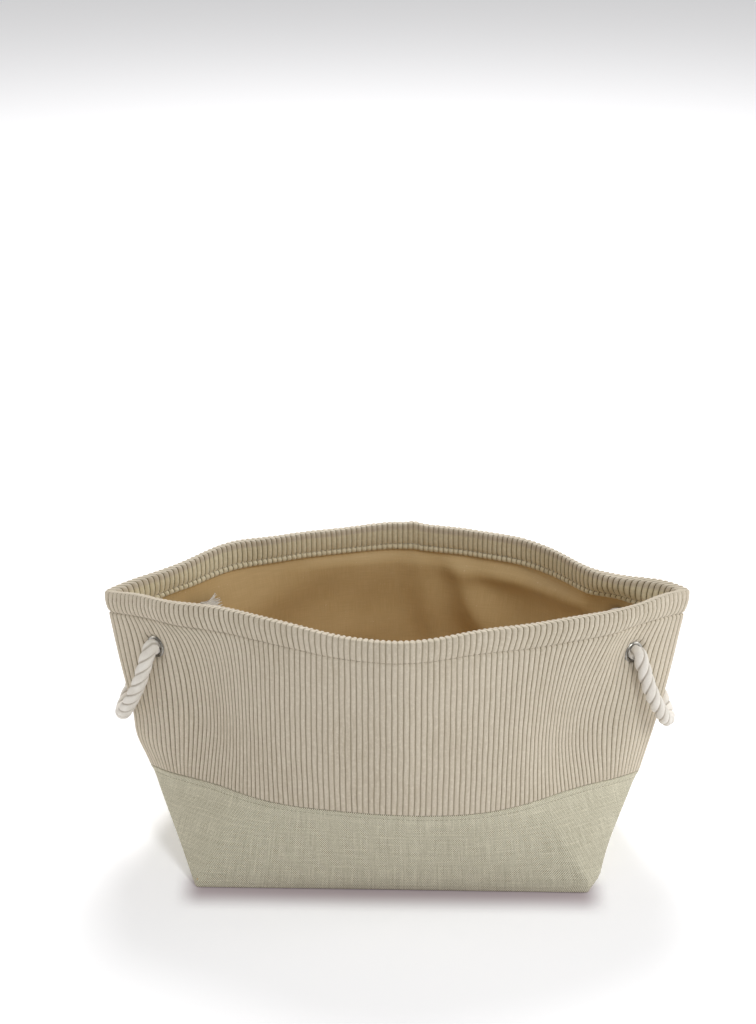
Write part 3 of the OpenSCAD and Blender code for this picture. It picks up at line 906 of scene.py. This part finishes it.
def lining_panel(name, first, last, corners):
    gap = 0.05 * MM / PERIMETER
    turns = np.linspace(first + gap, last - gap, 321)
    low, high = 3.7 / 44, 2 - 4 * MM / 0.135
    outer = face_rows(np.linspace(low, high, 70), 3.2 * MM)
    inner = face_rows(np.linspace(low, high, 70), 3.8 * MM)
    lining = layered_sheet(name, MATERIALS["lining"], turns, outer, inner, lining_slack)
    cut_eyelet_holes(lining, corners)
    return lining


for half, first in PANELS:
    corners = [c for c in CORNERS if c.startswith(half)]
    lining = lining_panel(f"lining_{half}_cloth", first, first + 0.5, corners)
    settle_on_bin(lining, "lining_" + half)


def floor_panel(name, material, end_inset, side_inset, low, thick):
    """A sheet on the floor of the bin. One that lies above the floor is softly dished; one on the floor stays
    flat.
    """
    bm = bmesh.new()
    bmesh.ops.create_grid(bm, x_segments=60, y_segments=40, size=1)
    uv_layer = bm.loops.layers.uv.new("cloth")
    half = Vector((BASE_L / 2 - end_inset, BASE_W / 2 - side_inset))
    for v in bm.verts:
        x, y = v.co.x * half.x, v.co.y * half.y
        wave = 0.25 * MM * math.sin(x * 90 + 1) * math.sin(y * 70) * (1 - v.co.x**6) * (1 - v.co.y**6)
        edge = max(abs(v.co.x), abs(v.co.y))
        turn_up = 0.9 * MM * smooth((edge - 0.95) / 0.05) if low > MM else 0
        v.co = (x, y, low + thick + turn_up + (wave if low > MM else 0))
    for face in bm.faces:
        for corner in face.loops:
            corner[uv_layer].uv = corner.vert.co.xy
    top = list(bm.faces)
    made = bmesh.ops.extrude_face_region(bm, geom=top)["geom"]
    for v in [g for g in made if isinstance(g, bmesh.types.BMVert)]:
        v.co.z = low
    bmesh.ops.recalc_face_normals(bm, faces=bm.faces)
    return link(name, bm, material)


for slot, sheet_sizes in (
    ("linen", (1.5 * MM, 1.5 * MM, 0.0, 1.0 * MM)),
    ("lining", (0.9 * MM, 2.6 * MM, 3.8 * MM, 0.6 * MM)),
):
    sheet = floor_panel(slot + "_base_cloth", MATERIALS[slot], *sheet_sizes)
    settle_on_bin(sheet, slot + "_base")

# ---------------------------------------------------------------- stitches


def stitch_row(bm, count, share, thickness, turn_of, station_of, inset):
    """Short stitches along a row. Each lies on the cloth and dips in at both ends."""
    for i in range(count):
        middle = (i + 0.5) / count
        half = share / count / 2
        a, b = wall(
            np.array([turn_of(middle - half), turn_of(middle + half)]),
            np.array([station_of(middle - half), station_of(middle + half)]),
            np.array([inset, inset]),
        )
        a, b = Vector(a), Vector(b)
        lie = (b - a).to_track_quat("X", "Z").to_matrix().to_4x4()
        size = Matrix.Diagonal(((b - a).length / 2, thickness / 2, thickness / 2, 1))
        place = Matrix.Translation((a + b) / 2) @ lie @ size
        bmesh.ops.create_uvsphere(bm, u_segments=6, v_segments=6, radius=1, matrix=place)


def hem_stitches():
    bm = bmesh.new()

    def station(turn):
        return float(2 - STITCH_DOWN / band_height(np.array([turn]))[0])

    for inset in (0.9 * MM, 5.55 * MM):
        stitch_row(bm, 268, 0.8, 0.5 * MM, lambda k: k, station, inset)
    return link("hem_stitches", bm, MATERIALS["corduroy_thread"])


def seam_stitches():
    bm = bmesh.new()
    stitch_row(bm, 268, 0.72, 0.5 * MM, lambda k: k, lambda k: 0.946, 0.15 * MM)
    return link("seam_stitches", bm, MATERIALS["linen_thread"])


settle_on_bin(hem_stitches(), "hem_thread")
settle_on_bin(seam_stitches(), "seam_thread")

# ---------------------------------------------------------------- eyelets and board

for node_name, node in nodes.items():
    if node_name.startswith(("eyelet", "washer")):
        finish = MATERIALS["eyelet_metal"]
    elif node_name == "base_board":
        finish = MATERIALS["board"]
    else:
        continue
    if not node.material_slots:
        node.data.materials.append(finish)
    for material_slot in node.material_slots:
        material_slot.material = finish

# ---------------------------------------------------------------- ropes

KNOT_IN = 10.1 * MM
STRAND_SIDES = 36


def strand_profile(a):
    """Radius factor round a three-strand rope: a round bulge for each strand, with a sharp valley between."""
    k = (a * 3 / (2 * math.pi)) % 1 * 2 - 1
    return 0.70 + 0.32 * math.sqrt(max(0.0, 1 - abs(k) ** 2.0))


def smooth_path(points, step):
    """Even steps along a smooth curve through the points."""
    pts = np.array([list(p) for p in points], float)
    dense = []
    padded = np.vstack([2 * pts[0] - pts[1], pts, 2 * pts[-1] - pts[-2]])
    for i in range(1, len(padded) - 2):
        p0, p1, p2, p3 = padded[i - 1 : i + 3]
        for t in np.linspace(0, 1, 12, endpoint=False):
            square = (2 * p0 - 5 * p1 + 4 * p2 - p3) * t**2
            cube = (3 * p1 - p0 - 3 * p2 + p3) * t**3
            dense.append(0.5 * (2 * p1 + (p2 - p0) * t + square + cube))
    dense.append(pts[-1])
    dense = np.array(dense)
    along = np.r_[0, np.cumsum(np.linalg.norm(np.diff(dense, axis=0), axis=1))]
    want = np.linspace(0, along[-1], int(round(along[-1] / step)) + 1)
    return np.stack([np.interp(want, along, dense[:, k]) for k in range(3)], -1)


def rope_route(left):
    """From inside the front eyelet, out, round the bin's end in a hanging loop, and in at the back."""
    front = "front_left" if left else "front_right"
    back = "back_left" if left else "back_right"
    pivot = EYELET + EYELET_OUT * PIVOT_OUT
    loop = []
    for k in np.linspace(0, 1, 25):
        a = math.pi * k
        sunk = LOOP_DROP * math.sin(a) ** LOOP_SQUARE
        loop.append(Vector((pivot.x - LOOP_REACH * math.sin(a), pivot.y * math.cos(a), pivot.z - sunk)))
    run_in = [EYELET - EYELET_OUT * KNOT_IN, EYELET - EYELET_OUT * 5 * MM, EYELET + EYELET_OUT * 1.0 * MM]
    run_in = [Vector(p) for p in run_in]
    run_out = [Vector((p.x, -p.y, p.z)) for p in reversed(run_in)]
    path = run_in + [EYELET + EYELET_OUT * 5.5 * MM] + loop[2:-2]
    path += [Vector((path[3].x, -path[3].y, path[3].z))] + run_out
    sx = 1 if left else -1
    return [Vector((p.x * sx, p.y, p.z)) for p in path], front, back


def rope_skin(name, path, phase):
    bm = bmesh.new()
    uv_layer = bm.loops.layers.uv.new("rope")
    radii = [ROPE_D / 2 * 1.02] * len(path)
    swept_tube(bm, path, radii, STRAND_SIDES, strand_profile, ROPE_LAY, uv_layer, phase)
    bmesh.ops.recalc_face_normals(bm, faces=bm.faces)
    return link(name, bm, MATERIALS["rope"])


def knot_piece(name, corner, tilt, reach, sag, seed):
    """A rope end knotted behind its eyelet: one wrap round the rope, and a tail that frays into its yarns."""
    draw = np.random.default_rng(seed)
    out = mirrored(EYELET_OUT, corner)
    middle = mirrored(EYELET, corner)
    sx = CORNERS[corner][0]
    to_middle = Vector((sx, 0, 0))
    side = (to_middle - out * to_middle.dot(out)).normalized()
    up = Vector((0, 0, 1))
    up = (up - out * up.dot(out)).normalized()
    lift = math.radians(tilt)
    tail_way = (side * math.cos(lift) + up * math.sin(lift)).normalized()
    crossways = out.cross(tail_way).normalized()

    def at(depth, along, across):
        low = Vector((0, 0, -sag * MM)) * float(smooth((depth - 8) / 5))
        far = max(0, along - 9) * reach
        return middle - out * depth * MM + tail_way * (along + far) * MM + crossways * across * MM + low

    bm = bmesh.new()
    uv_layer = bm.loops.layers.uv.new("rope")
    # The wrap leaves the rope's end, circles it a little over once, and runs out as the tail
    wrap = [at(8.0, 0, 0), at(13.5, 0.6, 0.8), at(17.6, 4.2, 3.0), at(16.6, 5.2, 7.2)]
    for k in np.linspace(0, 1, 15):
        a = math.radians(50 + 415 * k)
        r = 7.4 - 0.4 * k
        wrap.append(at(13.6 - 5.2 * smooth(k) + 0.6, r * math.cos(a), r * math.sin(a)))
    wrap += [at(9.8, 8.6, 5.4), at(12.6, 12.0, 1.2), at(14.6, 16.5, -0.6), at(15.4, 22.0, -0.4)]
    path = smooth_path(wrap, 1.3 * MM)
    radii = [ROPE_D / 2 * (0.96 - 0.05 * max(0, i - len(path) + 6)) for i in range(len(path))]
    swept_tube(bm, path, radii, 30, strand_profile, ROPE_LAY, uv_layer, 0.4)
    # The straight part inside the wrap
    core = smooth_path([at(7.0, 0, 0), at(10, 0, 0), at(14, 0.3, 0.3), at(16.0, 1.5, 1.5)], 1.5 * MM)
    swept_tube(bm, core, [4.6 * MM] * len(core), 24, strand_profile, ROPE_LAY, uv_layer, 1.0)
    # Frayed yarns fan out from the cut end
    root = Vector(path[-3])
    for i in range(34):
        spread_up, spread_out = draw.normal(0, 0.21), draw.normal(0, 0.18)
        start = root + crossways * draw.normal(0, 1.9) * MM + out * draw.normal(0, 1.9) * MM
        length = draw.uniform(9, 17) * MM
        way = (tail_way + crossways * spread_up - out * spread_out * 0.6).normalized()
        bend = crossways * draw.normal(0, 1.6) * MM + out * draw.normal(0, 1.2) * MM
        yarn = [start + way * length * k + bend * k * k for k in (0, 0.25, 0.5, 0.75, 1.0)]
        thick = draw.uniform(0.55, 0.95) * MM
        swept_tube(bm, yarn, [thick * f for f in (1, 1, 0.9, 0.7, 0.3)], 6, None, 0, uv_layer, 0)
    bmesh.ops.recalc_face_normals(bm, faces=bm.faces)
    return link(name, bm, MATERIALS["rope"])


# How each rope end lies: the tail's slope in degrees, its extra length, and how far the knot sags in mm
TAILS = {
    "front_left": (-50, 0.0, 2),
    "front_right": (-65, 0.0, 2),
    "back_left": (3, 0.25, 0),
    "back_right": (-40, 0.0, 4),
}
knots = {}
for seed, (corner, (tilt, reach, sag)) in enumerate(TAILS.items()):
    knots[corner] = knot_piece("rope_knot_" + corner, corner, tilt, reach, sag, 20 + seed)
    settle_on_bin(knots[corner], "knot_" + corner)

for left, body in ((True, "handle_left"), (False, "handle_right")):
    route, front, back = rope_route(left)
    path = smooth_path(route, 1.25 * MM)
    rope = rope_skin("rope_" + body, path, 0.3)
    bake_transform(rope)
    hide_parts("handle_rope_" + ("left" if left else "right"))

# ---------------------------------------------------------------- floor and light


def pale_floor():
    """A bright table top that glows a little as painted light, and is painted a little duller in front of the
    bin as a painted shadow.
    """
    bm = bmesh.new()
    bmesh.ops.create_grid(bm, x_segments=1, y_segments=1, size=6)
    mat, n, shader, place = new_material("floor")
    split = n.add("ShaderNodeSeparateXYZ")
    n.join(place, split.inputs[0])
    past_end = n.maths("SUBTRACT", n.maths("ABSOLUTE", split.outputs[0]), BASE_L / 2 - 6 * MM)
    past_front = n.maths("SUBTRACT", n.maths("MULTIPLY", split.outputs[1], -1.0), BASE_W / 2)
    # Painted shadow: a mauve tint on the floor just in front of the bin, fading out forwards and past the
    # ends
    fades_out = n.spread(past_front, 2 * MM, 30 * MM, 0.86, 0.0)
    painted_shadow = n.maths("MULTIPLY", n.spread(past_end, 0.0, 22 * MM, 1.0, 0.0), fades_out)
    painted_shadow = n.maths("MULTIPLY", painted_shadow, n.spread(past_front, -25 * MM, -5 * MM))
    colour = n.mix(painted_shadow, (0.93, 0.925, 0.935), (0.30, 0.235, 0.25))
    # The floor glows in the same colour, painted shadow included: painted light
    n.join(colour, shader.inputs["Emission Color"])
    dress(shader, colour, Emission_Strength=0.22, Roughness=0.7, Specular_IOR_Level=0.1)
    floor = link("floor", bm, mat, False)
    floor.location.z = -0.0003


def soft_light(name, at, aim, size, power, colour=(1, 1, 1)):
    data = bpy.data.lights.new(name, "AREA")
    data.shape = "DISK"
    data.size = size
    data.energy = power
    data.color = colour
    light = bpy.data.objects.new(name, data)
    light.location = at
    light.rotation_euler = (Vector(aim) - Vector(at)).to_track_quat("-Z", "Y").to_euler()
    bpy.context.scene.collection.objects.link(light)


pale_floor()
soft_light("key", (1.2, -1.5, 2.2), (0, 0, 0.1), 1.0, 25.5, (0.96, 0.985, 1.0))
soft_light("back", (0, 1.6, 1.8), (0, 0, 0.1), 1.0, 34)
soft_light("left", (-1.6, 0.3, 0.6), (0, 0, 0.1), 1.0, 4.5, (1.0, 0.96, 0.90))
soft_light("right", (1.6, 0.3, 0.6), (0, 0, 0.1), 1.0, 7.5)
world = bpy.data.worlds.new("studio")
world.use_nodes = True
world.node_tree.nodes["Background"].inputs[0].default_value = (1, 1, 1, 1)
world.node_tree.nodes["Background"].inputs[1].default_value = 0.40
bpy.context.scene.world = world
bpy.context.scene.view_settings.view_transform = "Standard"
